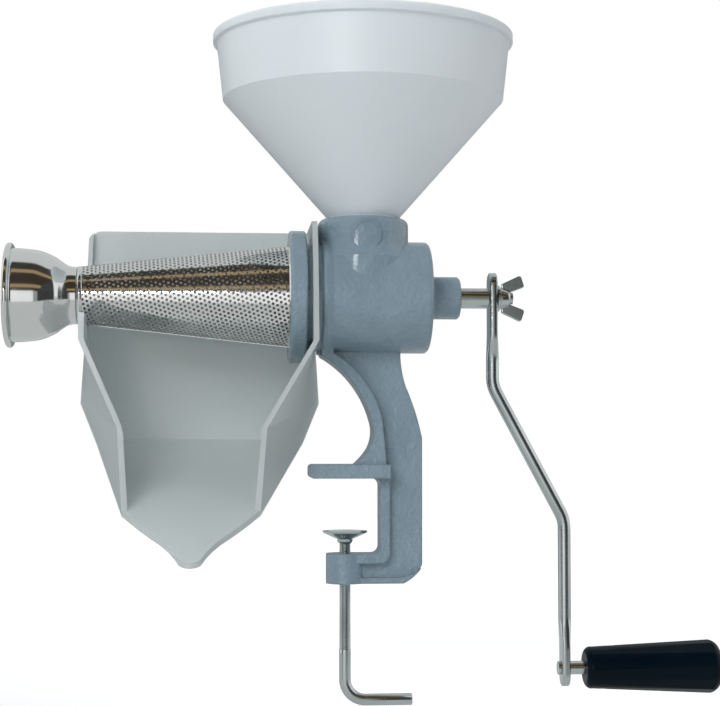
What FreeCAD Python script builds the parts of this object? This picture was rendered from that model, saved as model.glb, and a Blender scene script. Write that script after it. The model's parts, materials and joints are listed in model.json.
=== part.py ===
import FreeCAD, Part
import math
import os

# Food mill. Millimetres, +Z up, +X along the feed screw toward the crank.
# The origin is on the jaw face that rests on the table, on the clamp screw's axis.

AXIS_Z = 123.4  # height of the feed screw's axis above the table face
RUN_FIT = 0.05  # radial clearance of a turning fit
SLIP = 0.3  # clearance between pieces that part or stay still

# chamber and nose of the casting
SCREEN_R1 = 35.0  # big end of the strainer, which sets the bore behind it
BORE_R = SCREEN_R1 - 4.0
CHAMBER_R = BORE_R + 7.2
CHAMBER_X0 = -17.2
CHAMBER_X1 = 57.0
REAR_WALL = 8.0
NOSE_R = CHAMBER_R - 0.8
NOSE_X = -32.5
FLANGE_R = NOSE_R + 2.4
FLANGE_T = 3.0
BOSS_R = 14.6
BOSS_X1 = 78.6

# collar that takes the hopper
HOPPER_X = 12.3
COLLAR_R = 31.0
COLLAR_TOP = AXIS_Z + 53.6
COLLAR_BORE_R = COLLAR_R - 6.0
MEDALLION_R = 10.2
MEDALLION_Z = COLLAR_TOP - 13.2

# leg and clamp
WEB_T = 13.0
RIB_W = 30.0
RIB_T = 6.5
THROAT_W = 22.0
FOOT_W = 17.0
CORNER = 13.0
JAW_X0 = -24.6
JAW_T = 9.4
JAW_W = 36.0
JAW_ROUND = 2.6
LEG_IN = 23.3
LEG_OUT = 52.2
LUG_TOP = -51.0
LUG_BOTTOM = -71.2
LUG_R = 13.0

# shaft and bush
SHAFT_R = 7.0
BUSH_R = 10.0
TANG = 10.0
TANG_X = 14.0
SEAT_X = 98.8
SEAT = 9.0
STUD_R = 4.0
STUD_X = 116.0

# feed screw
CORE_R0 = 15.0
CORE_R1 = 9.0
FLIGHT_T = 5.0
CONE_TURNS = 2.7
FLIGHT_GAP = 0.8
SCREW_X0 = -170.0

# strainer screen and what holds it
SCREEN_T = 0.8
SCREEN_X0 = -181.0
SCREEN_R0 = 19.5
RING_R = NOSE_R - 0.2
RING_T = 1.5
GASKET_T = 1.5
NUT_R = NOSE_R + 7.8
NUT_X0 = -38.8
LIP_R = RING_R - 1.6

# waste bell
BELL_T = 1.0
BELL_X0 = -226.4
BELL_RIM_R = 33.2
BEAD_R = 2.2

# juice chute
CHUTE_X = -98.8
SPOUT_X = -103.5
CHUTE_T = 3.6
CHUTE_HALF_TOP = 78.0
CHUTE_HALF_FRONT = 77.7
NUT_X1 = CHUTE_X + CHUTE_HALF_FRONT - CHUTE_T - 3.1  # clear of the wall where it slopes in
CHUTE_BACK = 50.0
CHUTE_FRONT = -56.0
CHUTE_TOP = AXIS_Z + 49.4
CHUTE_FLOOR = AXIS_Z - 146.6  # where the floor leaves the walls in front
CHUTE_HOLE_R = NOSE_R + 0.4
SPOUT_TIP = -118.0
SPOUT_SLOPE = 0.46

# hopper
HOPPER_T = 2.2
RIM_R = 103.2
RIM_Z = COLLAR_TOP + 127.0
SHOULDER_R = RIM_R - 6.8
SHOULDER_Z = RIM_Z - 45.0
CONE_SLOPE = 0.883
SPIGOT_Z = COLLAR_TOP - 14.0

# crank and grip
ARM_T = 6.3
ARM_BAR_R = 4.4
ARM_BEND_Z = AXIS_Z - 60.4
ARM_LOW_X = 151.4
ARM_LOW_Z = AXIS_Z - 152.4
GRIP_Z = AXIS_Z - 253.6
SPINDLE_R = 4.6
SPINDLE_IN_R = 4.0
GRIP_X0 = 165.0
GRIP_X1 = 259.0
GRIP_R0 = 14.2
GRIP_R1 = 18.2

# clamp screw and pad
SCREW_R = 4.0
SCREW_BEND = 14.0
HANDLE_Z = -150.0
HANDLE_X = 45.8
PAD_R = 15.4
PAD_TOP = -35.8
PAD_H = 5.6

V = FreeCAD.Vector


def front(x, z):
    return V(x, 0, z)


def side(y, z):
    return V(0, y, z)


def about_screw(x, r):
    return V(x, 0, AXIS_Z + r)


def outline(place, start, *steps):
    """Flat face from a start point and steps: a point is a line, a pair (middle, end) an arc."""
    edges = []
    here = place(*start)
    for step in steps:
        if isinstance(step[0], tuple):
            middle = place(*step[0])
            end = place(*step[1])
            edges.append(Part.Arc(here, middle, end).toShape())
        else:
            end = place(*step)
            edges.append(Part.makeLine(here, end))
        here = end
    first = place(*start)
    if here.distanceToPoint(first) > 1e-6:
        edges.append(Part.makeLine(here, first))
    return Part.Face(Part.Wire(edges))


def slab(face, width):
    """Extrude a front outline equally to both sides of the middle plane."""
    moved = face.translated(V(0, -width / 2, 0))
    return moved.extrude(V(0, width, 0))


def round_bar(x0, x1, r):
    return Part.makeCylinder(r, x1 - x0, V(x0, 0, AXIS_Z), V(1, 0, 0))


def post(r, z0, z1, x=0.0):
    return Part.makeCylinder(r, z1 - z0, V(x, 0, z0))


def block(x0, x1, y0, y1, z0, z1):
    return Part.makeBox(x1 - x0, y1 - y0, z1 - z0, V(x0, y0, z0))


def turned(start, *steps):
    """Solid turned about the feed screw's axis from an outline of (x, radius)."""
    face = outline(about_screw, start, *steps)
    return face.revolve(V(0, 0, AXIS_Z), V(1, 0, 0), 360)


def turned_up(x, start, *steps):
    """Solid turned about a vertical axis at x from an outline of (radius, z)."""
    face = outline(lambda r, z: V(x + r, 0, z), start, *steps)
    return face.revolve(V(x, 0, 0), V(0, 0, 1), 360)


def screen_radius(x):
    """Outer radius of the strainer cone at x."""
    big_x = NOSE_X - GASKET_T - RING_T
    return SCREEN_R0 + (SCREEN_R1 - SCREEN_R0) * (x - SCREEN_X0) / (big_x - SCREEN_X0)


def inner_edge():
    """Steps down the hollow side of the leg, from the chamber to the jaw."""
    return [
        ((4.8, AXIS_Z - 59.3), (17.2, 39.5)),
        ((18.4, 29.0), (15.1, 19.0)),
        ((11.7, 14.6), (4.0, JAW_T - 2)),
    ]


def leg():
    under = AXIS_Z - BORE_R - 2.0  # inside the chamber's wall
    web = outline(
        front, (-19.5, AXIS_Z - 38.9), *inner_edge(),
        (4.0, 2.0), (LEG_IN + 2, 2.0), (LEG_IN + 2, LUG_TOP - 2), (0.0, LUG_TOP - 2), (0.0, LUG_BOTTOM),
        (LEG_OUT - CORNER, LUG_BOTTOM),
        ((LEG_OUT - 0.4 * CORNER, LUG_BOTTOM + 0.4 * CORNER), (LEG_OUT, LUG_BOTTOM + CORNER)),
        (LEG_OUT, 27.2),
        ((47.6, 45.0), (41.0, AXIS_Z - 60.9)),
        ((38.4, AXIS_Z - 50.4), (37.6, under)),
        (-19.5, under),
    )
    back_rib = outline(
        front, (-17.0, under), (-17.0, AXIS_Z - 40.6), *inner_edge(),
        (LEG_IN + 4.0, JAW_T - 2),
        ((25.6, 25.0), (24.0, 40.5)),
        ((11.2, AXIS_Z - 56.2), (-9.0, AXIS_Z - 38.9)),
        (-9.0, under),
    )
    throat = outline(
        front, (LEG_IN - 5.3, JAW_T - 2), (LEG_IN - 5.3, 0.0),
        ((LEG_IN - 1.55, -1.55), (LEG_IN, -5.3)),
        (LEG_IN, LUG_TOP + 5.0),
        ((LEG_IN - 1.46, LUG_TOP + 1.46), (LEG_IN - 5.0, LUG_TOP)),
        (2.0, LUG_TOP), (2.0, LUG_TOP - RIB_T), (LEG_IN + 1.0, LUG_TOP - RIB_T),
        ((LEG_IN + RIB_T - 2.0, LUG_TOP - RIB_T + 2.0), (LEG_IN + RIB_T, LUG_TOP + 1.0)),
        (LEG_IN + RIB_T, JAW_T - 2),
    )
    foot = outline(
        front, (2.0, LUG_BOTTOM), (LEG_OUT - CORNER, LUG_BOTTOM),
        ((LEG_OUT - 0.4 * CORNER, LUG_BOTTOM + 0.4 * CORNER), (LEG_OUT - 1.0, LUG_BOTTOM + CORNER - 3.0)),
        ((LEG_OUT - CORNER + 2.0, LUG_BOTTOM + 5.0), (LEG_OUT - CORNER - 6.0, LUG_BOTTOM + 4.0)),
        (2.0, LUG_BOTTOM + 4.0),
    )
    jaw = outline(
        front, (JAW_X0 + JAW_ROUND, 0.0), (LEG_IN + RIB_T, 0.0), (LEG_IN + RIB_T, JAW_T),
        (JAW_X0 + JAW_ROUND, JAW_T),
        ((JAW_X0 + 0.3 * JAW_ROUND, JAW_T - 0.3 * JAW_ROUND), (JAW_X0, JAW_T - JAW_ROUND)),
        (JAW_X0, JAW_ROUND),
        ((JAW_X0 + 0.3 * JAW_ROUND, 0.3 * JAW_ROUND), (JAW_X0 + JAW_ROUND, 0.0)),
    )
    ribs = [slab(back_rib, RIB_W), slab(throat, THROAT_W), slab(foot, FOOT_W)]
    return slab(web, WEB_T).fuse(ribs + [slab(jaw, JAW_W), post(LUG_R, LUG_BOTTOM, LUG_TOP)])


def collar():
    """Round collar with a foot that spreads where it runs into the chamber."""
    foot_z = AXIS_Z + 26.0
    return turned_up(
        HOPPER_X, (0, AXIS_Z), (COLLAR_R + 5.0, AXIS_Z), (COLLAR_R + 5.0, foot_z),
        ((COLLAR_R + 1.4, foot_z + 5.5), (COLLAR_R, foot_z + 13.0)),
        (COLLAR_R, COLLAR_TOP - 5),
        ((COLLAR_R - 1.3, COLLAR_TOP - 1.6), (COLLAR_R - 4.5, COLLAR_TOP)), (0, COLLAR_TOP),
    )


def medallion():
    """Plain raised disc with a rim on the front of the collar."""
    y0 = -COLLAR_R - 1.0
    disc = Part.makeCylinder(MEDALLION_R, 12, V(HOPPER_X, y0, MEDALLION_Z), V(0, 1, 0))
    dish = Part.makeCylinder(MEDALLION_R - 1.6, 12, V(HOPPER_X, y0, MEDALLION_Z), V(0, 1, 0))
    ring = disc.cut(dish).common(post(COLLAR_R + 1.0, AXIS_Z, COLLAR_TOP, HOPPER_X))
    return ring.fuse(dish.common(post(COLLAR_R + 0.5, AXIS_Z, COLLAR_TOP, HOPPER_X)))


def body_casting():
    chamber = turned(
        (NOSE_X, 0), (NOSE_X, NOSE_R - 1), (NOSE_X + 1, NOSE_R), (CHAMBER_X0, NOSE_R),
        (CHAMBER_X0, FLANGE_R - 1), (CHAMBER_X0 + 1, FLANGE_R),
        (CHAMBER_X0 + FLANGE_T, FLANGE_R), (CHAMBER_X0 + FLANGE_T + 4, CHAMBER_R),
        (CHAMBER_X1 - 3.5, CHAMBER_R),
        ((CHAMBER_X1 - 1.0, CHAMBER_R - 1.0), (CHAMBER_X1, CHAMBER_R - 3.5)),
        (CHAMBER_X1, BOSS_R + 4),
        ((CHAMBER_X1 + 1.2, BOSS_R + 1.2), (CHAMBER_X1 + 4, BOSS_R)),
        (BOSS_X1 - 1.5, BOSS_R), (BOSS_X1, BOSS_R - 1.5), (BOSS_X1, 0),
    )
    solid = chamber.fuse([collar(), medallion(), leg()]).removeSplitter()
    bore = round_bar(NOSE_X - 1, CHAMBER_X1 - REAR_WALL, BORE_R)
    throat = post(COLLAR_BORE_R, AXIS_Z, COLLAR_TOP + 1, HOPPER_X)
    bush_bore = round_bar(CHAMBER_X1 - REAR_WALL - 1, BOSS_X1 + 1, BUSH_R + RUN_FIT)
    screw_hole = post(SCREW_R + RUN_FIT, LUG_BOTTOM - 1, LUG_TOP + 1)
    return solid.cut([bore, throat, bush_bore, screw_hole]).removeSplitter()


def rear_bush():
    tube = round_bar(CHAMBER_X1 - REAR_WALL + 3, BOSS_X1 + 0.6, BUSH_R)
    return tube.cut(round_bar(0, BOSS_X1 + 9, SHAFT_R + RUN_FIT))


def shaft_seal():
    x0 = CHAMBER_X1 - REAR_WALL
    return round_bar(x0, x0 + 3, BUSH_R).cut(round_bar(0, BOSS_X1, SHAFT_R + SLIP))


def thrust_washer():
    x1 = CHAMBER_X1 - REAR_WALL - SLIP
    return round_bar(x1 - 1.5, x1, 13).cut(round_bar(0, BOSS_X1, SHAFT_R + RUN_FIT))


def drive_shaft():
    shank_x = CHAMBER_X1 - REAR_WALL - SLIP - 1.5
    half = TANG / 2
    seat = SEAT / 2
    tang = block(TANG_X, shank_x, -half, half, AXIS_Z - half, AXIS_Z + half)
    square = block(SEAT_X, SEAT_X + ARM_T - 0.4, -seat, seat, AXIS_Z - seat, AXIS_Z + seat)
    square = square.common(round_bar(SEAT_X, STUD_X, SHAFT_R - 1))
    return round_bar(shank_x, SEAT_X, SHAFT_R).fuse([tang, square, round_bar(SEAT_X, STUD_X, STUD_R)])


def flight(x0, x1, pitch, outer, inner):
    """One stretch of the screw's blade between x0 and x1, each radius running from start to end."""
    length = x1 - x0

    def edge(radii, lift):
        taper = math.degrees(math.atan((radii[1] - radii[0]) / length))
        helix = Part.makeHelix(pitch, length, radii[0], taper)
        return helix.translated(V(0, 0, lift)).Edges[0]

    ring = [edge(inner, 0), edge(outer, 0), edge(outer, FLIGHT_T), edge(inner, FLIGHT_T)]
    faces = [Part.makeRuledSurface(a, b) for a, b in zip(ring, ring[1:] + ring[:1])]
    for end in ("FirstParameter", "LastParameter"):
        corners = [e.valueAt(getattr(e, end)) for e in ring]
        faces.append(Part.Face(Part.makePolygon(corners + [corners[0]])))
    shell = Part.Shell(faces)
    shell.sewShape()
    blade = Part.Solid(shell)
    if blade.Volume < 0:
        blade.reverse()
    blade.rotate(V(0, 0, 0), V(0, 0, 1), 360 * (x0 - SCREW_X0) / pitch)
    blade.rotate(V(0, 0, 0), V(0, 1, 0), 90)
    return blade.translated(V(x0, 0, AXIS_Z))


def feed_screw():
    x1 = CHAMBER_X1 - REAR_WALL - SLIP - 1.5
    core = turned((SCREW_X0, 0), (SCREW_X0, CORE_R1 - 2), (SCREW_X0 + 2, CORE_R1), (x1, CORE_R0), (x1, 0))
    free_r = BORE_R - FLIGHT_GAP
    gap = SCREEN_T + FLIGHT_GAP + 0.5
    slope = (SCREEN_R1 - SCREEN_R0) / (NOSE_X - GASKET_T - RING_T - SCREEN_X0)
    start = SCREW_X0 + 1
    meet = SCREEN_X0 + (free_r + gap - SCREEN_R0) / slope
    cone_r = (screen_radius(start) - gap, free_r)
    pitch = (meet - start) / CONE_TURNS
    solid = core.fuse(flight(start, meet, pitch, cone_r, (CORE_R1 - 2.5, CORE_R1)))
    back = meet + 2.5 * pitch
    solid = solid.fuse(flight(meet - 1.5, back, pitch, (free_r, free_r), (CORE_R1 + 0.5, CORE_R1 + 0.5)))
    half = TANG / 2 + 0.1
    socket = block(TANG_X - 1, x1 + 1, -half, half, AXIS_Z - half, AXIS_Z + half)
    return solid.cut(socket)


def strainer_screen():
    x1 = NOSE_X - GASKET_T
    big = screen_radius(x1)
    return turned(
        (SCREEN_X0, SCREEN_R0), (x1, big), (x1, big - SCREEN_T), (SCREEN_X0, SCREEN_R0 - SCREEN_T)
    )


def screen_ring():
    x1 = NOSE_X - GASKET_T
    x0 = x1 - RING_T
    return turned(
        (x0, screen_radius(x0)), (x0, RING_R), (x1, RING_R), (x1, screen_radius(x1))
    )


def nose_gasket():
    x0 = NOSE_X - GASKET_T
    return round_bar(x0, NOSE_X, RING_R - 0.4).cut(round_bar(x0 - 1, NOSE_X + 1, BORE_R + 0.5))


def ring_nut():
    lip_x = NOSE_X - GASKET_T - RING_T
    return turned(
        (NUT_X0, LIP_R), (NUT_X0, NUT_R - 1.2), (NUT_X0 + 1.2, NUT_R), (NUT_X1 - 0.8, NUT_R),
        (NUT_X1, NUT_R - 0.8), (NUT_X1, NOSE_R + 0.1), (lip_x, NOSE_R + 0.1), (lip_x, LIP_R),
    )


def waste_bell():
    """Thin cup that swells from the screen's neck to a mouth with a rolled rim."""
    neck = SCREEN_R0 - SCREEN_T - SLIP
    t = BELL_T
    x0 = SCREEN_X0 - SLIP
    wide = BELL_RIM_R - 1.4
    return turned(
        (x0 + 9.3, neck), (x0, neck), (x0, SCREEN_R0 - 0.3),
        (x0 - 4.2, SCREEN_R0), (x0 - 8.0, 0.62 * SCREEN_R0 + 0.38 * wide),
        ((x0 - 16.0, wide - 4.4), (x0 - 27.0, wide - 1.0)),
        (BELL_X0 + 4.0, wide), (BELL_X0 + BEAD_R, BELL_RIM_R),
        ((BELL_X0, BELL_RIM_R + BEAD_R), (BELL_X0 - BEAD_R, BELL_RIM_R)),
        ((BELL_X0, BELL_RIM_R - BEAD_R), (BELL_X0 + 4.0, wide - t)),
        (x0 - 27.0, wide - 1.0 - t),
        ((x0 - 16.6, wide - 4.4 - t), (x0 - 8.6, 0.62 * SCREEN_R0 + 0.38 * wide - t)),
        (x0 - 4.2, SCREEN_R0 - t), (x0 - 1.0, neck - t), (x0 + 9.3, neck - t),
    )


def chute_section(y, half_widths, heights, shift, inset):
    """Ring of points across the chute at depth y: walls from the top down, then the floor."""
    left = []
    right = []
    for half, z, dx in zip(half_widths, heights, shift):
        left.append(V(CHUTE_X + dx - half + inset, y, z))
        right.append(V(CHUTE_X + dx + half - inset, y, z))
    ring = right + left[::-1]
    return Part.makePolygon(ring + [ring[0]])


def chute_solid(inset, top, back, front_y):
    """Tapering block of the chute; inset and lifted floor give its hollow."""
    off = SPOUT_X - CHUTE_X
    lift = inset * 1.1
    back_halves = [CHUTE_HALF_TOP, 81.5, 84.0, 72.8]
    back_z = [top, AXIS_Z - 31.4, AXIS_Z - 71.9, AXIS_Z - 99.7 + lift]
    front_halves = [CHUTE_HALF_TOP, CHUTE_HALF_FRONT, 48.3, 44.3]
    front_z = [top, AXIS_Z - 32.4, AXIS_Z - 89.7, CHUTE_FLOOR + lift]
    shifts = ([0, 0, 0, 0], [0, 0, off * 0.9, off])
    rings = []
    for y in (back, front_y):
        k = (CHUTE_BACK - y) / (CHUTE_BACK - CHUTE_FRONT)
        halves = [a + (b - a) * k for a, b in zip(back_halves, front_halves)]
        heights = [a + (b - a) * k for a, b in zip(back_z, front_z)]
        shift = [a + (b - a) * k for a, b in zip(*shifts)]
        rings.append(chute_section(y, halves, heights, shift, inset))
    return Part.makeLoft(rings, True, True)


def chute_spout():
    """Pouring lip that carries the floor on to its rounded tip."""
    y0 = CHUTE_FRONT + 4
    plan = outline(
        lambda x, y: V(SPOUT_X + x, y, 0), (-44.0, y0), (-44.0, CHUTE_FRONT),
        ((-34.5, -70.5), (-22.5, -86.5)),
        ((-13.5, -99.5), (-7.0, SPOUT_TIP + 4)),
        ((0.0, SPOUT_TIP), (7.0, SPOUT_TIP + 4)),
        ((13.5, -99.5), (22.5, -86.5)),
        ((34.5, -70.5), (44.0, CHUTE_FRONT)),
        (44.0, y0),
    )
    column = plan.translated(V(0, 0, CHUTE_FLOOR - 70)).extrude(V(0, 0, 120))
    z0 = CHUTE_FLOOR - (CHUTE_FRONT - y0) * SPOUT_SLOPE
    z1 = CHUTE_FLOOR - (CHUTE_FRONT - SPOUT_TIP) * SPOUT_SLOPE
    rise = CHUTE_T * 1.1
    plate = outline(side, (y0, z0), (y0, z0 + rise), (SPOUT_TIP, z1 + rise), (SPOUT_TIP, z1))
    plate = plate.translated(V(SPOUT_X - 60, 0, 0)).extrude(V(120, 0, 0))
    return plate.common(column)


def juice_chute():
    outer = chute_solid(0, CHUTE_TOP, CHUTE_BACK, CHUTE_FRONT)
    hollow = chute_solid(CHUTE_T, CHUTE_TOP + 20, CHUTE_BACK - CHUTE_T, CHUTE_FRONT - 4)
    shell = outer.cut(hollow)
    over = CHUTE_TOP + 5
    right_open = outline(
        side, (-22.0, over), (-22.0, CHUTE_TOP),
        ((-30.0, CHUTE_TOP - 2.5), (-34.0, CHUTE_TOP - 9)),
        (CHUTE_FRONT, AXIS_Z - 32.4), (CHUTE_FRONT - 9, AXIS_Z - 32.4), (CHUTE_FRONT - 9, over),
    )
    right_cut = right_open.translated(V(CHUTE_X, 0, 0)).extrude(V(120, 0, 0))
    left_open = outline(
        side, (CHUTE_BACK - 9, over), (CHUTE_BACK - 9, AXIS_Z - 3.4),
        ((CHUTE_BACK - 13, AXIS_Z - 11.9), (CHUTE_BACK - 21, AXIS_Z - 14.9)),
        (CHUTE_FRONT + 6, AXIS_Z - 14.9),
        ((CHUTE_FRONT + 2, AXIS_Z - 17.9), (CHUTE_FRONT, AXIS_Z - 25.4)),
        (CHUTE_FRONT - 9, AXIS_Z - 25.4), (CHUTE_FRONT - 9, over),
    )
    left_cut = left_open.translated(V(CHUTE_X - 120, 0, 0)).extrude(V(120, 0, 0))
    edge_x = CHUTE_X - CHUTE_HALF_TOP
    corner = outline(
        front, (edge_x - 9, CHUTE_TOP - 7.0), (edge_x - 0.6, CHUTE_TOP - 7.0),
        ((edge_x + 2.9, CHUTE_TOP - 2.0), (edge_x + 11.0, CHUTE_TOP)),
        (edge_x + 11.0, over), (edge_x - 9, over),
    )
    corner_cut = corner.extrude(V(0, CHUTE_BACK + 1, 0))
    neck_dip = round_bar(CHUTE_X - 120, CHUTE_X - 60, SCREEN_R0 + 1.6)
    hole = round_bar(CHUTE_X + 40, CHUTE_X + 120, CHUTE_HOLE_R)
    shell = shell.cut([right_cut, left_cut, corner_cut, neck_dip, hole])
    return shell.fuse(chute_spout()).removeSplitter()


def hopper():
    t = HOPPER_T
    mouth_r = COLLAR_BORE_R - SLIP
    cone_z = SHOULDER_Z - (SHOULDER_R - mouth_r) / CONE_SLOPE
    rise = t * 1.3
    return turned_up(
        HOPPER_X, (mouth_r, SPIGOT_Z), (mouth_r, cone_z), (SHOULDER_R, SHOULDER_Z),
        (RIM_R - 2.6, RIM_Z - 7), (RIM_R, RIM_Z - 6), (RIM_R, RIM_Z - 1), (RIM_R - 1, RIM_Z),
        (RIM_R - 2.6 - t, RIM_Z), (SHOULDER_R - t, SHOULDER_Z + rise * 0.5),
        (mouth_r - t, cone_z + rise * 0.35), (mouth_r - t, SPIGOT_Z),
    )


def bar_path(points, bend):
    """Wire in the front plane with round bends of the given radius."""
    wire = Part.makePolygon([front(*p) for p in points])
    edges = []
    start = front(*points[0])
    for before, corner, after in zip(points, points[1:], points[2:]):
        c = front(*corner)
        back = (front(*before) - c).normalize()
        ahead = (front(*after) - c).normalize()
        half_angle = back.getAngle(ahead) / 2
        run = bend / math.tan(half_angle)
        middle = (back + ahead).normalize() * (bend / math.sin(half_angle) - bend)
        edges.append(Part.makeLine(start, c + back * run))
        edges.append(Part.Arc(c + back * run, c + middle, c + ahead * run).toShape())
        start = c + ahead * run
    edges.append(Part.makeLine(start, wire.Vertexes[-1].Point))
    return Part.Wire(edges)


def swept_bar(points, bend, r):
    path = bar_path(points, bend)
    start = front(*points[0])
    along = front(*points[1]) - start
    ring = Part.Wire(Part.Circle(start, along, r).toShape())
    return path.makePipeShell([ring], True, True)


def flat_end(x, z_eye, z_bar, half_width):
    """Flattened end of the bar: a rounded eye that runs into the round bar."""
    t = ARM_T / 2
    way = 1 if z_bar > z_eye else -1
    z_neck = z_bar - way * 14
    plate = block(x - t, x + t, -half_width, half_width, min(z_eye, z_neck), max(z_eye, z_neck))
    eye = Part.makeCylinder(half_width, 2 * t, V(x - t, 0, z_eye), V(1, 0, 0))
    flat = Part.makePolygon([
        V(x - t, -half_width, z_neck), V(x + t, -half_width, z_neck),
        V(x + t, half_width, z_neck), V(x - t, half_width, z_neck), V(x - t, -half_width, z_neck),
    ])
    bar = ARM_BAR_R * 0.8
    small = Part.makePolygon([
        V(x - bar, -bar, z_bar), V(x + bar, -bar, z_bar),
        V(x + bar, bar, z_bar), V(x - bar, bar, z_bar), V(x - bar, -bar, z_bar),
    ])
    return plate.fuse([eye, Part.makeLoft([flat, small], True, True)])


def crank_arm():
    x = SEAT_X + ARM_T / 2
    path = [(x, AXIS_Z - 30), (x, ARM_BEND_Z), (ARM_LOW_X, ARM_LOW_Z), (ARM_LOW_X, GRIP_Z + 24)]
    bar = swept_bar(path, 16.0, ARM_BAR_R)
    slim = block(x - 40, x + ARM_T / 2, -20, 20, ARM_BEND_Z + 12, AXIS_Z)
    slim = slim.cut(block(x - ARM_T / 2, x + ARM_T, -21, 21, ARM_BEND_Z, AXIS_Z + 1))
    outer = block(x + ARM_T / 2, x + 40, -20, 20, ARM_BEND_Z + 12, AXIS_Z)
    solid = bar.cut([slim, outer])
    upper = flat_end(x, AXIS_Z, AXIS_Z - 34, 17.8 / 2 + 1.2)
    top_eye = Part.makeCylinder(17.6, ARM_T, V(SEAT_X, 0, AXIS_Z), V(1, 0, 0))
    top_eye = top_eye.common(block(SEAT_X, SEAT_X + ARM_T, -10.1, 10.1, AXIS_Z, AXIS_Z + 18))
    lower = flat_end(ARM_LOW_X, GRIP_Z, GRIP_Z + 30, 7.0)
    foot = Part.makeCylinder(12.4, ARM_T, V(ARM_LOW_X - ARM_T / 2, 0, GRIP_Z), V(1, 0, 0))
    foot = foot.common(block(ARM_LOW_X - 9, ARM_LOW_X + 9, -7, 7, GRIP_Z - 13, GRIP_Z))
    solid = solid.fuse([upper, top_eye, lower, foot])
    half = SEAT / 2 + RUN_FIT
    square = block(SEAT_X - 1, SEAT_X + ARM_T + 1, -half, half, AXIS_Z - half, AXIS_Z + half)
    square = square.common(round_bar(SEAT_X - 1, STUD_X, SHAFT_R - 1 + RUN_FIT))
    rivet = Part.makeCylinder(3.2, 20, V(ARM_LOW_X - 10, 0, GRIP_Z), V(1, 0, 0))
    return solid.cut([square, rivet]).removeSplitter()


def crank_washer():
    x0 = SEAT_X + ARM_T
    return round_bar(x0, x0 + 1.4, 9.0).cut(round_bar(x0 - 1, x0 + 3, STUD_R + SLIP))


def wing_nut():
    x0 = SEAT_X + ARM_T + 1.4
    hub = turned((x0, 0), (x0, 7.4), (x0 + 1.5, 7.6), (x0 + 6.6, 6.2), (x0 + 7.4, 5.2), (x0 + 7.4, 0))
    wing = outline(
        about_screw, (x0 + 2.0, 4.6), (x0 + 2.6, 7.4),
        ((x0 + 8.5, 11.5), (x0 + 13.2, 16.0)),
        ((x0 + 17.4, 16.6), (x0 + 19.0, 12.6)),
        ((x0 + 15.0, 7.2), (x0 + 7.0, 4.6)),
    )
    upper = slab(wing, 3.0)
    lower = upper.rotated(V(0, 0, AXIS_Z), V(1, 0, 0), 180)
    return hub.fuse([upper, lower]).cut(round_bar(x0 - 1, x0 + 9, STUD_R + RUN_FIT))


def along_grip(x0, x1, r):
    return Part.makeCylinder(r, x1 - x0, V(x0, 0, GRIP_Z), V(1, 0, 0))


def grip_spindle():
    x0 = ARM_LOW_X - ARM_T / 2
    x1 = ARM_LOW_X + ARM_T / 2
    rivet = along_grip(x0 - 1.2, x1, 3.2 - 0.02)
    head = along_grip(x0 - 1.8, x0, 4.6)
    shank = along_grip(x1, GRIP_X0 - SLIP, SPINDLE_R)
    return shank.fuse([rivet, head, along_grip(x1, GRIP_X1 - 6, SPINDLE_IN_R)])


def grip():
    place = lambda x, r: V(x, 0, GRIP_Z + r)
    face = outline(
        place, (GRIP_X0, 0), (GRIP_X0, GRIP_R0 - 4),
        ((GRIP_X0 + 1.2, GRIP_R0 - 1.2), (GRIP_X0 + 5, GRIP_R0)),
        (GRIP_X1 - 7, GRIP_R1),
        ((GRIP_X1 - 2.4, GRIP_R1 - 2.4), (GRIP_X1, GRIP_R1 - 10)),
        (GRIP_X1, 0),
    )
    body = face.revolve(V(0, 0, GRIP_Z), V(1, 0, 0), 360)
    rings = []
    for x, r in ((GRIP_X0, GRIP_R0 + 0.2), (GRIP_X1, GRIP_R1 + 0.4)):
        ring = []
        for i in range(13):
            a = math.radians(30 * i + 8)
            ring.append(V(x, r * math.sin(a), GRIP_Z + r * math.cos(a)))
        rings.append(Part.makePolygon(ring))
    body = body.common(Part.makeLoft(rings, True, True))
    recess = along_grip(GRIP_X1 - 9, GRIP_X1 + 1, 8.0)
    return body.cut([recess, along_grip(GRIP_X0 - 1, GRIP_X1, SPINDLE_IN_R + RUN_FIT)])


def grip_retainer():
    x0 = GRIP_X1 - 9 + SLIP
    return along_grip(x0, x0 + 1.2, 6.8).cut(along_grip(x0 - 1, x0 + 3, SPINDLE_IN_R + 0.02))


def clamp_screw():
    top = PAD_TOP - PAD_H - SLIP
    path = [(0, top), (0, HANDLE_Z), (HANDLE_X, HANDLE_Z)]
    return swept_bar(path, SCREW_BEND, SCREW_R).removeSplitter()


def clamp_pad():
    """Pressed dish, open to the top."""
    top = PAD_TOP
    low = PAD_TOP - PAD_H
    return turned_up(
        0, (0, low), (5.4, low),
        ((9.6, low + 1.8), (PAD_R - 0.4, top - 1.2)),
        (PAD_R, top), (PAD_R - 1.6, top),
        ((9.4, low + 3.6), (5.0, low + 1.8)), (0, low + 1.8),
    )


def pad_collar():
    top = PAD_TOP - PAD_H
    return turned_up(
        0, (SCREW_R + RUN_FIT, top), (5.4, top), (5.2, top - 1.6), (SCREW_R + 0.6, top - 2.6),
        (SCREW_R + RUN_FIT, top - 2.6),
    )


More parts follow.
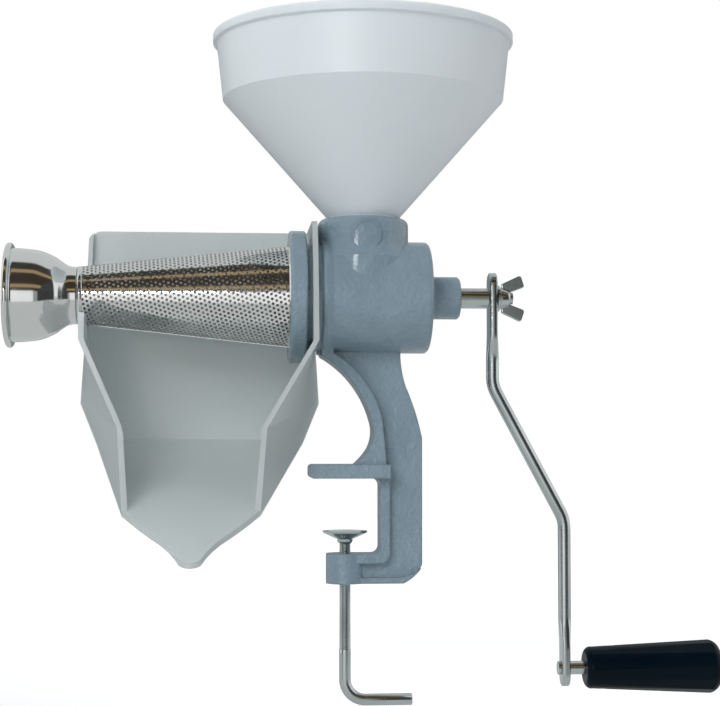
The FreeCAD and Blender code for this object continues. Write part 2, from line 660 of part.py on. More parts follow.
NODES = {
    "body_casting": body_casting,
    "rear_bush": rear_bush,
    "shaft_seal": shaft_seal,
    "thrust_washer": thrust_washer,
    "drive_shaft": drive_shaft,
    "feed_screw": feed_screw,
    "strainer_screen": strainer_screen,
    "screen_ring": screen_ring,
    "nose_gasket": nose_gasket,
    "ring_nut": ring_nut,
    "waste_bell": waste_bell,
    "juice_chute": juice_chute,
    "hopper": hopper,
    "crank_arm": crank_arm,
    "crank_washer": crank_washer,
    "wing_nut": wing_nut,
    "grip_spindle": grip_spindle,
    "grip": grip,
    "grip_retainer": grip_retainer,
    "clamp_screw": clamp_screw,
    "clamp_pad": clamp_pad,
    "pad_collar": pad_collar,
}

os.makedirs("parts", exist_ok=True)
for name, make in NODES.items():
    shape = make()
    if len(shape.Solids) != 1 or not shape.isValid():
        raise SystemExit(f"{name}: {len(shape.Solids)} solids, valid {shape.isValid()}")
    shape.Solids[0].exportStep(f"parts/{name}.step")
    print(name, [round(v, 1) for v in (shape.BoundBox.XMin, shape.BoundBox.XMax,
                                       shape.BoundBox.YMin, shape.BoundBox.YMax,
                                       shape.BoundBox.ZMin, shape.BoundBox.ZMax)])
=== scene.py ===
import json
import math

import bpy
from mathutils import Matrix, Vector


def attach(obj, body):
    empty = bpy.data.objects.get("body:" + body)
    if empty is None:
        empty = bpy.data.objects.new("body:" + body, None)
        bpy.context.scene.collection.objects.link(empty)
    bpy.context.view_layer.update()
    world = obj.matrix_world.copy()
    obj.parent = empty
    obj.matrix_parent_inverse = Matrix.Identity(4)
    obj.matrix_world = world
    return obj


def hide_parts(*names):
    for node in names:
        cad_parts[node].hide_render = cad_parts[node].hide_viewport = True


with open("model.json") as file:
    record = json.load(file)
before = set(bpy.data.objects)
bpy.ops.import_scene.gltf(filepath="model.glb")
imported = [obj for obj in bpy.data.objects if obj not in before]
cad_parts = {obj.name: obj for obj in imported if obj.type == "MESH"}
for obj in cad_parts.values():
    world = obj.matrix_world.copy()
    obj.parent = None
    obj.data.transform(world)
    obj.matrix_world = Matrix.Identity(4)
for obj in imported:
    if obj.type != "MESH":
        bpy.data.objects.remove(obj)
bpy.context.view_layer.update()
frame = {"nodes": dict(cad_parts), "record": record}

# sizes of the object, in millimetres
MM = 0.001  # metres in a millimetre
AXIS_Z = 123.4  # height of the feed screw's axis

# strainer screen
SCREEN_X0, SCREEN_X1 = -181.0, -34.0  # small end and big end of the cone
SCREEN_R0, SCREEN_R1 = 19.5, 35.16
SCREEN_T = 0.8
SCREEN_HALF = math.atan2(SCREEN_R1 - SCREEN_R0, SCREEN_X1 - SCREEN_X0)  # half angle of the cone
HOLE_PITCH, HOLE_R = 3.2, 0.92
BAND_SMALL, BAND_BIG = 3.8, 5.5  # widths of the plain bands at the two ends
BAND_PROUD = 0.06
SEAM_X0, SEAM_X1 = SCREEN_X0 + 0.5, SCREEN_X1 - 2.0
SEAM_SIDES = (-4.0, -1.5, 1.5, 4.0)  # places across the seam
SEAM_PROUD, SEAM_SUNK = 0.25, 0.5

# waste cup
CUP_T = 1.0
CUP_GAP = 0.3  # slip fit of the neck in the screen
CUP_NECK = 9.0  # length of the neck in the screen
CUP_BODY = [(-187.0, 20.0), (-192.0, 23.0), (-197.0, 26.4), (-206.0, 30.0), (-216.0, 31.3), (-222.0, 31.7)]
RIM_X, RIM_MID_R, RIM_BEAD = -226.4, 33.2, 2.2  # rolled rim
RIM_FROM, RIM_TURN = -40, 280  # degrees round the bead

# wing nut, with its outlines measured from its face on the washer and from the axis
WING_X = 106.5
WING_HUB = [(0.0, 4.1), (0.0, 7.2), (1.2, 7.5), (5.6, 6.3), (6.8, 5.9), (7.4, 5.2), (7.4, 4.1)]
WING_PADDLE = [(1.5, 5.0), (1.7, 10.0), (14.2, 15.9), (15.7, 15.2), (17.7, 8.9), (17.0, 7.6), (7.0, 3.8)]
WING_HALF_T = 1.5
WING_ROUND = 0.7

# crank
ARM_X, ARM_LOW_X = 101.95, 151.4  # middle of the upper and the lower straight
GRIP_Z = AXIS_Z - 253.6
ARM_BEND_Z, ARM_LOW_Z = AXIS_Z - 60.4, AXIS_Z - 152.4  # corners of the two bends
ARM_BAR_R, ARM_BEND_R = 4.4, 24.0
EYE_TOP_Z, EYE_LOW_Z = AXIS_Z + 17.6, GRIP_Z - 12.4  # ends of the bar
EYE_HALF_T = 3.0
EYE_TOP_HALF_W, EYE_LOW_HALF_W = 8.4, 6.8
FLAT_TOP_Z, FLAT_TOP_RUN = AXIS_Z - 44.0, 22.0  # where the bar turns flat below the upper eye
FLAT_LOW_Z, FLAT_LOW_RUN = GRIP_Z + 34.0, 20.0  # where it turns flat above the lower eye
EYE_TIP_THIN = 0.25  # share of the thickness lost at the tip of an eye
EYE_TIP_MIN = 0.02  # keeps the tip from closing to a point
ROUND_POWER, FLAT_POWER = 2, 5  # squareness of the section between the eyes and in them
SEAT_HALF, RIVET_R = 4.55, 3.2  # square hole on the shaft, round hole of the spindle
HOLE_REACH = 9.0  # half length of a hole's cut

# clamp screw
SCREW_R = 4.0
THREAD_PITCH, THREAD_DEPTH = 1.25, 0.62
THREAD_STEEP, THREAD_CREST = 1.5, 0.25  # steepness of the sides and flat of the crest
SCREW_TOP, THREAD_END = -41.7, -116.0
HANDLE_X, HANDLE_Z = 45.8, -150.0  # end and height of the handle
SCREW_BEND, SCREW_CHAMFER = 14.0, 0.6

# fineness of the meshes
TURNED_SIDES, HUB_SIDES = 96, 48
HOLE_SIDES = 12
BEAD_STEPS = 12
ARM_SIDES, ARM_STEP = 32, 1.5
BEND_STEPS = 8
RIVET_SIDES = 24
SCREW_SIDES = 28
THREAD_ROWS = 6
SHANK_ROWS, SCREW_BEND_ROWS = 7, 14


# materials

def shader(name, colour, rough, metal=0.0, **extra):
    """New material with its main shader; extra sets further sockets by name."""
    mat = bpy.data.materials.new(name)
    mat.use_nodes = True
    bsdf = mat.node_tree.nodes["Principled BSDF"]
    bsdf.inputs["Base Color"].default_value = (*colour, 1)
    bsdf.inputs["Roughness"].default_value = rough
    bsdf.inputs["Metallic"].default_value = metal
    for key, value in extra.items():
        bsdf.inputs[key.replace("_", " ")].default_value = value
    return mat, bsdf


def noise(mat, scale, detail):
    """Noise in the object's own coordinates."""
    tree = mat.node_tree
    place = tree.nodes.new("ShaderNodeTexCoord")
    tex = tree.nodes.new("ShaderNodeTexNoise")
    tex.inputs["Scale"].default_value = scale
    tex.inputs["Detail"].default_value = detail
    tree.links.new(place.outputs["Object"], tex.inputs["Vector"])
    return tex


def ramp(mat, source, low, high, at=(0.35, 0.65)):
    """Map a texture's factor between two colours or grey levels."""
    node = mat.node_tree.nodes.new("ShaderNodeValToRGB")
    for element, value, pos in zip(node.color_ramp.elements, (low, high), at):
        element.position = pos
        element.color = (*value, 1) if isinstance(value, tuple) else (value, value, value, 1)
    mat.node_tree.links.new(source.outputs["Fac"], node.inputs["Fac"])
    return node


def vary(mat, bsdf, socket, source, low, high):
    """Let a texture vary one of the shader's sockets between two values."""
    mat.node_tree.links.new(ramp(mat, source, low, high).outputs["Color"], bsdf.inputs[socket])


def bump(mat, bsdf, source, strength, distance):
    """Bump over whatever already drives the shader's normal."""
    links = mat.node_tree.links
    node = mat.node_tree.nodes.new("ShaderNodeBump")
    node.inputs["Strength"].default_value = strength
    node.inputs["Distance"].default_value = distance
    for link in list(bsdf.inputs["Normal"].links):
        links.new(link.from_socket, node.inputs["Normal"])
    links.new(source.outputs["Fac"], node.inputs["Height"])
    links.new(node.outputs["Normal"], bsdf.inputs["Normal"])


def soft_edges(mat, bsdf, radius):
    """Rounded look of a cast edge."""
    node = mat.node_tree.nodes.new("ShaderNodeBevel")
    node.samples = 6
    node.inputs["Radius"].default_value = radius
    mat.node_tree.links.new(node.outputs["Normal"], bsdf.inputs["Normal"])


def painted():
    """Glossy enamel over the waves and the grain of a casting."""
    low, high = (0.197, 0.277, 0.333), (0.235, 0.319, 0.377)
    mat, bsdf = shader(
        "paint", low, 0.3, Coat_Weight=0.45, Coat_Roughness=0.06, Specular_IOR_Level=0.3,
    )
    vary(mat, bsdf, "Base Color", noise(mat, 18, 4), low, high)
    soft_edges(mat, bsdf, 1.6 * MM)
    bump(mat, bsdf, noise(mat, 60, 2), 0.6, 4 * MM)
    bump(mat, bsdf, noise(mat, 380, 2), 0.9, 1 * MM)
    return mat


def bare_metal(name, colour, smooth, dull, grain):
    """Metal whose roughness wanders between two values."""
    mat, bsdf = shader(name, colour, smooth, 1.0)
    vary(mat, bsdf, "Roughness", noise(mat, grain, 2), smooth, dull)
    return mat


def zinc():
    """Bright plating with faint clouds."""
    low, high = (0.47, 0.52, 0.52), (0.57, 0.61, 0.61)
    mat = bare_metal("zinc", low, 0.17, 0.23, 30)
    bsdf = mat.node_tree.nodes["Principled BSDF"]
    vary(mat, bsdf, "Base Color", noise(mat, 25, 3), low, high)
    return mat


def translucent(name, low, high, rough, scatter, clear):
    """Milky plastic that lets some light through."""
    mat, bsdf = shader(
        name, low, rough, Transmission_Weight=clear, IOR=1.49, Subsurface_Weight=scatter,
        Subsurface_Radius=(1.0, 1.0, 0.95), Subsurface_Scale=6 * MM,
    )
    vary(mat, bsdf, "Base Color", noise(mat, 9, 2), low, high)
    bump(mat, bsdf, noise(mat, 160, 2), 0.06, 0.4 * MM)
    return mat


def plastic(name, low, high, rough, shine=0.5):
    """Solid moulded plastic or rubber with a fine grain."""
    mat, bsdf = shader(name, low, rough, Specular_IOR_Level=shine)
    vary(mat, bsdf, "Base Color", noise(mat, 30, 3), low, high)
    bump(mat, bsdf, noise(mat, 700, 2), 0.12, 0.3 * MM)
    return mat


MATERIALS = {
    "paint": painted(),
    "zinc": zinc(),
    "steel": bare_metal("steel", (0.62, 0.63, 0.64), 0.24, 0.38, 80),
    "bronze": bare_metal("bronze", (0.55, 0.38, 0.19), 0.26, 0.40, 80),
    "stainless": bare_metal("mirror", (0.71, 0.72, 0.71), 0.09, 0.14, 60),
    "rubber": plastic("rubber", (0.02, 0.02, 0.02), (0.03, 0.03, 0.03), 0.6),
    "screw_plastic": plastic("screw_plastic", (0.75, 0.73, 0.68), (0.8, 0.78, 0.73), 0.35),
    "chute_plastic": translucent(
        "chute_plastic", (0.61, 0.67, 0.67), (0.66, 0.715, 0.715), 0.36, scatter=0.3, clear=0.28,
    ),
    "hopper_plastic": translucent(
        "hopper_plastic", (0.74, 0.80, 0.83), (0.78, 0.835, 0.865), 0.4, scatter=0.5, clear=0.12,
    ),
    "grip_plastic": plastic(
        "grip_plastic", (0.001, 0.005, 0.010), (0.002, 0.007, 0.013), 0.28, shine=0.07,
    ),
}


def dress(obj, slot):
    """Give an object the one material of its slot."""
    obj.data.materials.clear()
    obj.data.materials.append(MATERIALS[slot])


for subpart in frame["record"]["subparts"]:
    dress(frame["nodes"][subpart["node"]], subpart["material_slot"])


# shapes

def new_piece(name, verts, faces, slot, body, smooth=True):
    """Mesh piece in millimetres that rides on a body."""
    mesh = bpy.data.meshes.new(name)
    mesh.from_pydata([Vector(v) * MM for v in verts], [], faces)
    mesh.validate()
    for poly in mesh.polygons:
        poly.use_smooth = smooth
    obj = bpy.data.objects.new(name, mesh)
    bpy.context.scene.collection.objects.link(obj)
    dress(obj, slot)
    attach(obj, body)
    return obj


def tube_faces(rows, around):
    """Sides between rows of points, with a cap on the first and on the last row."""
    faces = []
    for i in range(rows - 1):
        for k in range(around):
            n = (k + 1) % around
            faces.append((i * around + k, i * around + n, (i + 1) * around + n, (i + 1) * around + k))
    faces.append(tuple(reversed(range(around))))
    faces.append(tuple(range((rows - 1) * around, rows * around)))
    return faces


def lathe(name, outline, slot, body, sides=TURNED_SIDES):
    """Ring turned about the feed screw's axis from a closed outline of (x, radius) points."""
    verts, faces = [], []
    count = len(outline)
    for k in range(sides):
        a = 2 * math.pi * k / sides
        for x, r in outline:
            verts.append((x, r * math.sin(a), AXIS_Z + r * math.cos(a)))
    for k in range(sides):
        n = (k + 1) % sides
        for i in range(count):
            j = (i + 1) % count
            faces.append((k * count + i, k * count + j, n * count + j, n * count + i))
    return new_piece(name, verts, faces, slot, body)


def cubic(share, before, start, end, after):
    """Value on the way from start to end, with slopes that follow the values beside them."""
    square = 2 * before - 5 * start + 4 * end - after
    cube = 3 * start - before - 3 * end + after
    return 0.5 * (2 * start + (end - before) * share + square * share ** 2 + cube * share ** 3)


def smooth_curve(points, steps=8):
    """Points of a smooth curve through the given ones."""
    ends = [points[0]] + points + [points[-1]]
    curve = []
    for four in zip(ends, ends[1:], ends[2:], ends[3:]):
        for i in range(steps):
            curve.append(tuple(cubic(i / steps, *values) for values in zip(*four)))
    return curve + [points[-1]]


def bent_line(points, radius, step):
    """Points and directions along a line in the XZ plane, with a round bend at each inner corner."""
    line = []
    start = Vector(points[0])
    for k in range(1, len(points)):
        corner = Vector(points[k])
        along = (corner - Vector(points[k - 1])).normalized()
        stop = corner
        turn = 0.0
        if k < len(points) - 1:
            onward = (Vector(points[k + 1]) - corner).normalized()
            turn = along.angle_signed(onward)
            stop = corner - along * radius * math.tan(abs(turn) / 2)
        count = max(1, round((stop - start).length / step))
        for i in range(count):
            line.append((start.lerp(stop, i / count), along))
        if turn:
            side = Vector((along.y, -along.x)) * math.copysign(radius, turn)
            for i in range(BEND_STEPS):
                spin = Matrix.Rotation(-turn * i / BEND_STEPS, 2)
                line.append((stop + side - spin @ side, spin @ along))
            start = stop + side - Matrix.Rotation(-turn, 2) @ side
    line.append((stop, along))
    return line


def hole_through(piece, x, outline):
    """Cut a straight hole along X through a piece, from the hole's (y, z) corners."""
    verts = [Vector((end, y, z)) * MM for end in (x - HOLE_REACH, x + HOLE_REACH) for y, z in outline]
    mesh = bpy.data.meshes.new("hole")
    mesh.from_pydata(verts, [], tube_faces(2, len(outline)))
    cutter = bpy.data.objects.new("hole", mesh)
    bpy.context.scene.collection.objects.link(cutter)
    cut = piece.modifiers.new("hole", "BOOLEAN")
    cut.object = cutter
    bpy.context.view_layer.update()
    view = bpy.context.evaluated_depsgraph_get()
    shaped = bpy.data.meshes.new_from_object(piece.evaluated_get(view))
    piece.modifiers.remove(cut)
    piece.data = shaped
    bpy.data.objects.remove(cutter)


# strainer screen

def screen_radius(x):
    """Outer radius of the strainer cone."""
    return SCREEN_R0 + (x - SCREEN_X0) * math.tan(SCREEN_HALF)


def on_cone(along, around, lift):
    """Point of the strainer cone from its flat pattern: distance from the apex and angle round."""
    sheet_r = along * math.sin(SCREEN_HALF)
    x = SCREEN_X0 + (sheet_r - SCREEN_R0) / math.tan(SCREEN_HALF)
    r = sheet_r + lift
    angle = around / math.sin(SCREEN_HALF)
    return x, -r * math.sin(angle), AXIS_Z + r * math.cos(angle)


def ring_points(u, v, radius, count):
    """Points round (u, v) on the flat pattern, the first at 30 degrees."""
    points = []
    for k in range(count):
        a = math.radians(360 * k / count + 30)
        points.append((u + radius * math.sin(a), v + radius * math.cos(a)))
    return points


def hole_cells():
    """Centres and hexagon corners, on the flat pattern, of the holes that fit in the sheet."""
    near, far = SCREEN_R0 / math.sin(SCREEN_HALF), SCREEN_R1 / math.sin(SCREEN_HALF)
    sector = math.pi * math.sin(SCREEN_HALF)
    first_row = near * math.cos(sector)
    row_step = HOLE_PITCH * math.sqrt(3) / 2
    rows = int((far - first_row) / row_step) + 1
    columns = int(far * math.sin(sector) / HOLE_PITCH) + 1
    for i in range(rows):
        u = first_row + i * row_step
        for j in range(-columns, columns + 1):
            v = (j + 0.5 * (i % 2)) * HOLE_PITCH
            corners = ring_points(u, v, HOLE_PITCH / math.sqrt(3), 6)
            within = [
                near <= math.hypot(*c) <= far and abs(math.atan2(c[1], c[0])) <= sector for c in corners
            ]
            if all(within):
                yield u, v, corners


def perforated_screen():
    """Rolled sheet with staggered round holes: two skins, the holes' walls and the border's walls."""
    verts, faces, index, border = [], [], {}, {}

    def point(place, layer):
        key = (round(place[0], 3), round(place[1], 3), layer)
        if key not in index:
            index[key] = len(verts)
            lift = -SCREEN_T if layer.endswith("inner") else 0.0
            verts.append(on_cone(math.hypot(*place), math.atan2(place[1], place[0]), lift))
        return index[key]

    def wall(first, second):
        over = [point(place, "wall_outer") for place in (first, second)]
        under = [point(place, "wall_inner") for place in (second, first)]
        faces.append(over + under)

    for u, v, corners in hole_cells():
        rim = ring_points(u, v, HOLE_R, HOLE_SIDES)
        for layer in ("outer", "inner"):
            hexagon = [point(place, layer) for place in corners]
            ring = [point(place, layer) for place in rim]
            for k in range(6):
                n = (k + 1) % 6
                face = (hexagon[k], hexagon[n], ring[2 * n], ring[2 * k + 1], ring[2 * k])
                faces.append(face if layer == "outer" else face[::-1])
        for k in range(HOLE_SIDES):
            wall(rim[k], rim[(k + 1) % HOLE_SIDES])
        for k in range(6):
            side = (corners[k], corners[(k + 1) % 6])
            key = frozenset(point(place, "outer") for place in side)
            if border.pop(key, None) is None:
                border[key] = side
    for first, second in border.values():
        wall(second, first)
    sheet = new_piece("strainer_sheet", verts, faces, "stainless", "frame")
    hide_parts("strainer_screen")


def screen_band(name, x0, x1):
    """Plain end band of the strainer, a little proud of the sheet."""
    outline = [(x, screen_radius(x) + BAND_PROUD) for x in (x0, x1)]
    outline += [(x, screen_radius(x) - SCREEN_T) for x in (x1, x0)]
    lathe(name, outline, "stainless", "frame")


def screen_seam():
    """Lapped weld seam of the screen along its underside."""
    ring = [(side, SEAM_PROUD) for side in SEAM_SIDES]
    ring += [(side, -SEAM_SUNK) for side in reversed(SEAM_SIDES)]
    verts = []
    for x in (SEAM_X0, SEAM_X1):
        for side, lift in ring:
            r = screen_radius(x) + lift
            verts.append((x, r * math.sin(side / r), AXIS_Z - r * math.cos(side / r)))
    new_piece("screen_seam", verts, tube_faces(2, len(ring)), "stainless", "frame", smooth=False)


# waste cup, wing nut, crank and clamp screw

def waste_cup():
    """Spun cup: neck in the screen's end, swelling body and a rolled rim."""
    neck_r = SCREEN_R0 - SCREEN_T - CUP_GAP
    shoulder_x, neck_x = SCREEN_X0 - CUP_GAP, SCREEN_X0 + CUP_NECK
    outer = smooth_curve([(shoulder_x, SCREEN_R0 - CUP_GAP)] + CUP_BODY)
    bead = []
    for k in range(BEAD_STEPS + 1):
        a = math.radians(RIM_FROM + RIM_TURN * k / BEAD_STEPS)
        bead.append((RIM_X + RIM_BEAD * math.cos(a), RIM_MID_R + RIM_BEAD * math.sin(a)))
    inner = [(x, r - CUP_T) for x, r in reversed(outer)]
    neck = [(neck_x, neck_r - CUP_T), (neck_x, neck_r), (shoulder_x, neck_r)]
    cup = lathe("waste_cup", (outer + bead + inner + neck)[::-1], "stainless", "frame")
    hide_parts("waste_bell")


def wing_nut():
    """Pressed wing nut: a round hub and two slanted paddles."""
    outline = [(WING_X + x, r) for x, r in WING_HUB]
    hub = lathe("wing_hub", outline, "zinc", "drive", HUB_SIDES)
    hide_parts("wing_nut")
    faces = tube_faces(2, len(WING_PADDLE))
    for name, way in (("wing_upper", 1), ("wing_lower", -1)):
        verts = []
        for y in (-WING_HALF_T, WING_HALF_T):
            verts += [(WING_X + x, y, AXIS_Z + way * r) for x, r in WING_PADDLE[::way]]
        wing = new_piece(name, verts, faces, "zinc", "drive", smooth=False)
        round_off = wing.modifiers.new("round", "BEVEL")
        round_off.width = WING_ROUND * MM
        round_off.segments = 3


def blend(low, high, share):
    """Value between low and high."""
    return low + (high - low) * share


def crank_section(z):
    """Half thickness, half width and squareness of the crank bar at a height: flat eyes, round between."""
    upper = min(1.0, max(0.0, (z - FLAT_TOP_Z) / FLAT_TOP_RUN))
    lower = min(1.0, max(0.0, (FLAT_LOW_Z - z) / FLAT_LOW_RUN))
    flat = max(upper, lower)
    flat = flat * flat * (3 - 2 * flat)
    eye_half_w = EYE_TOP_HALF_W if upper > 0 else EYE_LOW_HALF_W
    tip = max(z - (EYE_TOP_Z - eye_half_w), EYE_LOW_Z + eye_half_w - z, 0.0) / eye_half_w
    thick = blend(ARM_BAR_R, EYE_HALF_T, flat) * (1 - EYE_TIP_THIN * tip ** 6)
    width = blend(ARM_BAR_R, eye_half_w, flat) * math.sqrt(max(EYE_TIP_MIN, 1 - tip * tip))
    return thick, width, blend(ROUND_POWER, FLAT_POWER, flat)


def crank_bar():
    """Bar of the crank: flat eye on the shaft, two bends and a flat eye on the grip's spindle."""
    corners = [(ARM_X, EYE_TOP_Z), (ARM_X, ARM_BEND_Z), (ARM_LOW_X, ARM_LOW_Z), (ARM_LOW_X, EYE_LOW_Z)]
    line = bent_line(corners, ARM_BEND_R, ARM_STEP)
    verts = []
    for centre, along in line:
        thick, width, power = crank_section(centre.y)
        for k in range(ARM_SIDES):
            a = 2 * math.pi * k / ARM_SIDES
            u = thick * math.copysign(abs(math.cos(a)) ** (2 / power), math.cos(a))
            v = width * math.copysign(abs(math.sin(a)) ** (2 / power), math.sin(a))
            verts.append((centre.x - along.y * u, v, centre.y + along.x * u))
    bar = new_piece("crank_bar", verts, tube_faces(len(line), ARM_SIDES), "zinc", "drive")
    square = [(SEAT_HALF * y, AXIS_Z + SEAT_HALF * z) for y, z in ((-1, -1), (1, -1), (1, 1), (-1, 1))]
    hole_through(bar, ARM_X, square)
    rivet = []
    for k in range(RIVET_SIDES):
        a = 2 * math.pi * k / RIVET_SIDES
        rivet.append((RIVET_R * math.cos(a), GRIP_Z + RIVET_R * math.sin(a)))
    hole_through(bar, ARM_LOW_X, rivet)
    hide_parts("crank_arm")


def rod_rows():
    """Place, tilt, radius and thread depth of each row of points along the clamp screw."""
    rows = []
    z = SCREW_TOP
    while z > THREAD_END:
        rows.append((0.0, z, 0.0, SCREW_R, THREAD_DEPTH))
        z -= THREAD_PITCH / THREAD_ROWS
    bend_z = HANDLE_Z + SCREW_BEND
    for k in range(SHANK_ROWS + 1):
        rows.append((0.0, blend(THREAD_END, bend_z, k / SHANK_ROWS), 0.0, SCREW_R, 0.0))
    quarter = math.pi / 2
    for k in range(1, SCREW_BEND_ROWS + 1):
        a = quarter * k / SCREW_BEND_ROWS
        rows.append((SCREW_BEND * (1 - math.cos(a)), bend_z - SCREW_BEND * math.sin(a), a, SCREW_R, 0.0))
    rows.append((HANDLE_X - SCREW_CHAMFER, HANDLE_Z, quarter, SCREW_R, 0.0))
    rows.append((HANDLE_X, HANDLE_Z, quarter, SCREW_R - SCREW_CHAMFER, 0.0))
    return rows


def clamp_rod():
    """Clamp screw: threaded upper part, plain shank, round bend and handle."""
    rows = rod_rows()
    verts = []
    for x, z, tilt, radius, depth in rows:
        for k in range(SCREW_SIDES):
            a = 2 * math.pi * k / SCREW_SIDES
            wave = abs(((z / THREAD_PITCH + k / SCREW_SIDES) % 1.0) * 2 - 1)
            r = radius - depth * min(1.0, max(0.0, wave * THREAD_STEEP - THREAD_CREST))
            across, side = r * math.cos(a), -r * math.sin(a)
            verts.append((x + across * math.cos(tilt), side, z + across * math.sin(tilt)))
    rod = new_piece("clamp_rod", verts, tube_faces(len(rows), SCREW_SIDES), "zinc", "clamp_screw")
    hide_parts("clamp_screw")


perforated_screen()
screen_band("screen_small_end", SCREEN_X0, SCREEN_X0 + BAND_SMALL)
screen_band("screen_big_end", SCREEN_X1 - BAND_BIG, SCREEN_X1)
screen_seam()
waste_cup()
wing_nut()
crank_bar()
clamp_rod()


# stage, light and camera, in metres

MIDDLE = (0.0, 0.0, 0.12)
FLOOR_Z, FLOOR_SIZE = -0.33, 12
# painted reflections: a room of glowing strips and panels that only the reflections show
ROOM_R, ROOM_HALF = 1.7, 1.6  # distance and half width of the mirrored room
FRONT_R, FRONT_LOW, FRONT_HIGH = 1.2, -20, 7  # distance, and heights in degrees, of its front
BRIGHT_LEFT, BRIGHT_RIGHT, DIM_RIGHT = -0.8, 0.08, 0.36  # edges of the three parts of the front
SIDE_R, SIDE_TOP = 1.9, 1.7  # distance and height of its side panels
# colour of the dark bands in the painted reflections
WARM_DARK = (0.05, 0.04, 0.032)
YAW, PITCH = math.radians(5.0), math.radians(2.8)
CAMERA_PLACE = (-0.08988, -1.14505, 0.02918)
LENS, SENSOR = 84.0, 36.0  # in millimetres


def either(tree, first, second):
    """Socket with the larger of two values."""
    node = tree.nodes.new("ShaderNodeMath")
    node.operation = "MAXIMUM"
    tree.links.new(first, node.inputs[0])
    tree.links.new(second, node.inputs[1])
    return node.outputs[0]


def mix(tree, share, first, second):
    """Shader that goes from the first to the second with share."""
    node = tree.nodes.new("ShaderNodeMixShader")
    for socket, source in zip(node.inputs, (share, first, second)):
        tree.links.new(source, socket)
    return node.outputs[0]


def glow(tree, colour):
    """Plain emission."""
    node = tree.nodes.new("ShaderNodeEmission")
    node.inputs["Color"].default_value = (*colour, 1)
    return node


def sky(tree, colour, strength):
    """Even light from all round."""
    node = tree.nodes.new("ShaderNodeBackground")
    node.inputs["Color"].default_value = (*colour, 1)
    node.inputs["Strength"].default_value = strength
    return node.outputs[0]


def backdrop_world():
    """White background, with a softer even light on the object."""
    world = bpy.data.worlds.new("studio")
    bpy.context.scene.world = world
    world.use_nodes = True
    tree = world.node_tree
    tree.nodes.clear()
    path = tree.nodes.new("ShaderNodeLightPath").outputs
    shown = either(tree, path["Is Camera Ray"], path["Is Glossy Ray"])
    shown = either(tree, shown, path["Is Transmission Ray"])
    out = tree.nodes.new("ShaderNodeOutputWorld")
    light = mix(tree, shown, sky(tree, (0.95, 0.97, 1.0), 0.35), sky(tree, (1, 1, 1), 1.0))
    tree.links.new(light, out.inputs["Surface"])


def lifted(mat, bsdf):
    """Lit floor with a painted glow that grows away from the object and leaves the shadow under it."""
    tree = mat.node_tree
    place = tree.nodes.new("ShaderNodeTexCoord")
    spread = tree.nodes.new("ShaderNodeMapping")
    spread.inputs["Scale"].default_value = (0.4, 0.4, 0.4)
    nearness = tree.nodes.new("ShaderNodeTexGradient")
    nearness.gradient_type = "SPHERICAL"
    tree.links.new(place.outputs["Object"], spread.inputs["Vector"])
    tree.links.new(spread.outputs["Vector"], nearness.inputs["Vector"])
    # painted light: a glow over the floor, faint under the object and strong away from it
    lift = glow(tree, (1, 1, 1))
    tree.links.new(ramp(mat, nearness, 0.75, 0.02, (0.1, 0.9)).outputs["Color"], lift.inputs["Color"])
    lit = tree.nodes.new("ShaderNodeAddShader")
    tree.links.new(bsdf.outputs[0], lit.inputs[0])
    tree.links.new(lift.outputs[0], lit.inputs[1])
    return lit.outputs[0]


def floor():
    """Pale floor that keeps the shadow, and shows a painted grey glow in the metal's reflections."""
    mat, bsdf = shader("floor", (0.85, 0.85, 0.85), 0.9)
    tree = mat.node_tree
    path = tree.nodes.new("ShaderNodeLightPath").outputs
    # painted reflection: the metal sees this grey glow in place of the lit floor
    grey = glow(tree, (0.6, 0.62, 0.62)).outputs[0]
    mirrored = mix(tree, path["Is Glossy Ray"], bsdf.outputs[0], grey)
    shown = either(tree, path["Is Camera Ray"], path["Is Transmission Ray"])
    surface = mix(tree, shown, mirrored, lifted(mat, bsdf))
    tree.links.new(surface, tree.nodes["Material Output"].inputs["Surface"])
    bpy.ops.mesh.primitive_plane_add(size=FLOOR_SIZE, location=(0, 0, FLOOR_Z))
    plane = bpy.context.object
    plane.name = "floor"
    plane.data.materials.append(mat)


def mirrored_only(name, corners, colour):
    """Glowing surface that only the reflections show."""
    mesh = bpy.data.meshes.new(name)
    mesh.from_pydata(corners, [], [(0, 1, 2, 3)])
    mat = bpy.data.materials.new(name)
    mat.use_nodes = True
    tree = mat.node_tree
    tree.links.new(glow(tree, colour).outputs[0], tree.nodes["Material Output"].inputs["Surface"])
    mesh.materials.append(mat)
    strip = bpy.data.objects.new(name, mesh)
    bpy.context.scene.collection.objects.link(strip)
    strip.visible_camera = False
    strip.visible_diffuse = False
    strip.visible_shadow = False
    strip.visible_transmission = False


def room_reflection_strip(name, low, high, colour, radius=ROOM_R, left=-ROOM_HALF, right=ROOM_HALF):
    """Painted reflection of a level part of the room between two heights, in degrees over the top from the
    front.
    """
    corners = []
    for angle, ends in ((low, (left, right)), (high, (right, left))):
        y = MIDDLE[1] - radius * math.cos(math.radians(angle))
        z = MIDDLE[2] + radius * math.sin(math.radians(angle))
        corners += [(x, y, z) for x in ends]
    mirrored_only(name, corners, colour)


def front_reflection_strip(name, colour, left, right):
    """Painted reflection of part of the room's nearer front."""
    room_reflection_strip(name, FRONT_LOW, FRONT_HIGH, colour, FRONT_R, left, right)


def room_reflection_panel(name, first, last, colour):
    """Painted reflection of an upright part of the room between two directions, in degrees to the right of
    the front.
    """
    corners = []
    for angle, ends in ((first, (FLOOR_Z, SIDE_TOP)), (last, (SIDE_TOP, FLOOR_Z))):
        x = SIDE_R * math.sin(math.radians(angle))
        y = -SIDE_R * math.cos(math.radians(angle))
        corners += [(x, y, z) for z in ends]
    mirrored_only(name, corners, colour)


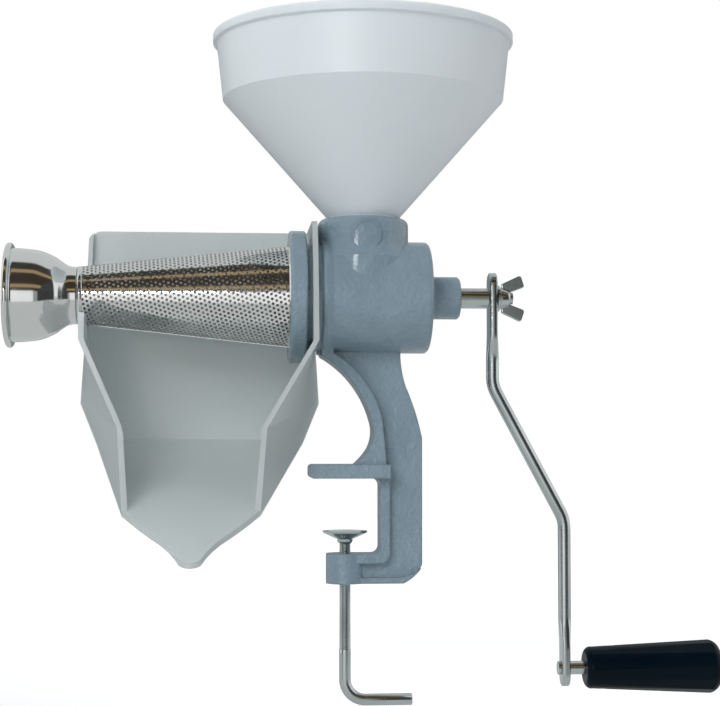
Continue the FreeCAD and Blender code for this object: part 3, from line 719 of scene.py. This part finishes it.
def lamp(name, centre, size, power, target, mirrored=False):
    """Soft square lamp; a mirrored one shows only as a highlight."""
    data = bpy.data.lights.new(name, "AREA")
    data.shape = "SQUARE"
    data.size = size
    data.energy = power
    obj = bpy.data.objects.new(name, data)
    bpy.context.scene.collection.objects.link(obj)
    obj.location = centre
    obj.rotation_euler = (Vector(target) - Vector(centre)).to_track_quat("-Z", "Y").to_euler()
    obj.visible_diffuse = not mirrored
    obj.visible_glossy = mirrored


def front_camera():
    """Camera in front of the object, turned and tilted a little."""
    data = bpy.data.cameras.new("camera")
    data.lens = LENS
    data.sensor_width = SENSOR
    camera = bpy.data.objects.new("camera", data)
    bpy.context.scene.collection.objects.link(camera)
    camera.location = CAMERA_PLACE
    camera.rotation_euler = (math.radians(90) + PITCH, 0, -YAW)
    bpy.context.scene.camera = camera


backdrop_world()
floor()
lamp("key", (-0.8, -1.25, 0.95), 0.9, 14.5, (0.0, 0.0, 0.2))
lamp("fill", (1.3, -1.1, 0.5), 1.0, 2.5, MIDDLE)
lamp("top", (0.0, 0.2, 1.5), 1.0, 8, MIDDLE)
lamp("back", (0.4, 1.4, 0.6), 1.0, 5, MIDDLE)
lamp("glint", (-0.55, -1.5, 0.22), 0.26, 4, MIDDLE, mirrored=True)
front_reflection_strip("bright_front_reflection", (1.0, 1.0, 1.0), BRIGHT_LEFT, BRIGHT_RIGHT)
front_reflection_strip("dim_front_reflection", (0.34, 0.36, 0.36), BRIGHT_RIGHT, DIM_RIGHT)
front_reflection_strip("dark_front_reflection", (0.05, 0.055, 0.055), DIM_RIGHT, ROOM_HALF)
room_reflection_strip("dark_sill_reflection", FRONT_HIGH, 15, WARM_DARK)
room_reflection_strip("low_beam_reflection", 15, 23, (0.42, 0.30, 0.16))
room_reflection_strip("dark_wall_reflection", 23, 53, WARM_DARK)
room_reflection_strip("shelf_reflection", 53, 62, (0.42, 0.31, 0.17))
room_reflection_strip("dark_ceiling_reflection", 62, 84, (0.05, 0.045, 0.04))
room_reflection_strip("grey_ceiling_reflection", 84, 160, (0.68, 0.71, 0.71))
room_reflection_strip("back_wall_reflection", 160, 194, (0.24, 0.27, 0.28))
room_reflection_panel("dark_right_reflection", 22, 62, (0.06, 0.065, 0.065))
room_reflection_panel("grey_left_reflection", -72, -36, (0.2, 0.21, 0.21))
front_camera()
bpy.context.scene.view_settings.view_transform = "Standard"

bpy.context.view_layer.update()
